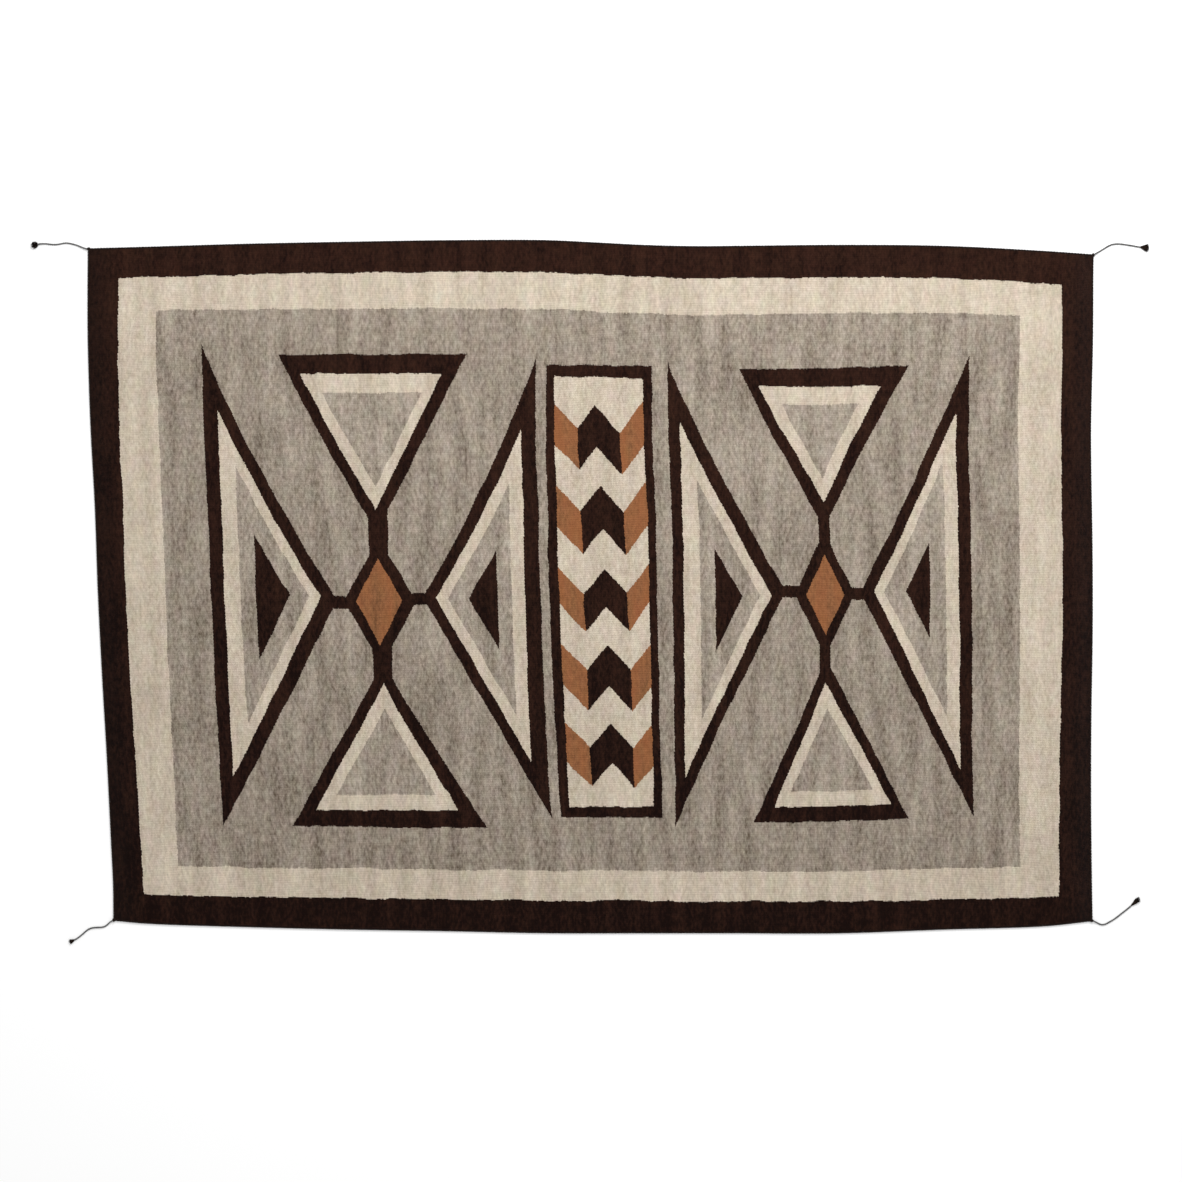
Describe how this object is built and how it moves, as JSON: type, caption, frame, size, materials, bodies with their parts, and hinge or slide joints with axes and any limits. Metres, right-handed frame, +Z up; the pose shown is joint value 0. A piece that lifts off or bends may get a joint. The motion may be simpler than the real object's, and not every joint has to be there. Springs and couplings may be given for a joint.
{
  "type": "tribal rug",
  "caption": "Flat handwoven wool rug with a geometric woven design, twined edge cords, and a knotted tie with a wool tuft at each corner.",
  "frame": {"origin": "on the surface that the rug lies on, under the middle of its outline without the corner ties", "axes": "+X along the long side, +Y along the short side towards the upper edge in the picture, +Z up out of the rug's face"},
  "size_m": [2.0602, 1.3, 0.0083],
  "materials": {
    "woven_wool": "weft-faced wool tapestry in grey, cream, dark brown and rust, matt with a soft nap",
    "edge_wool": "twisted dark brown wool cord, matt",
    "tie_wool": "two-ply grey wool cord, matt, slightly hairy",
    "tuft_wool": "loose black-brown wool fibres, matt"
  },
  "bodies": {
    "root": {"rug_cloth": "woven_wool", "edge_cord_top": "edge_wool", "edge_cord_bottom": "edge_wool", "edge_cord_left": "edge_wool", "edge_cord_right": "edge_wool", "corner_knot_top_left": "edge_wool", "corner_knot_top_right": "edge_wool", "corner_knot_bottom_left": "edge_wool", "corner_knot_bottom_right": "edge_wool", "corner_tie_top_left": "tie_wool", "corner_tie_top_right": "tie_wool", "corner_tie_bottom_left": "tie_wool", "corner_tie_bottom_right": "tie_wool", "tie_tuft_top_left": "tuft_wool", "tie_tuft_top_right": "tuft_wool", "tie_tuft_bottom_left": "tuft_wool", "tie_tuft_bottom_right": "tuft_wool"}
  },
  "joints": []
}
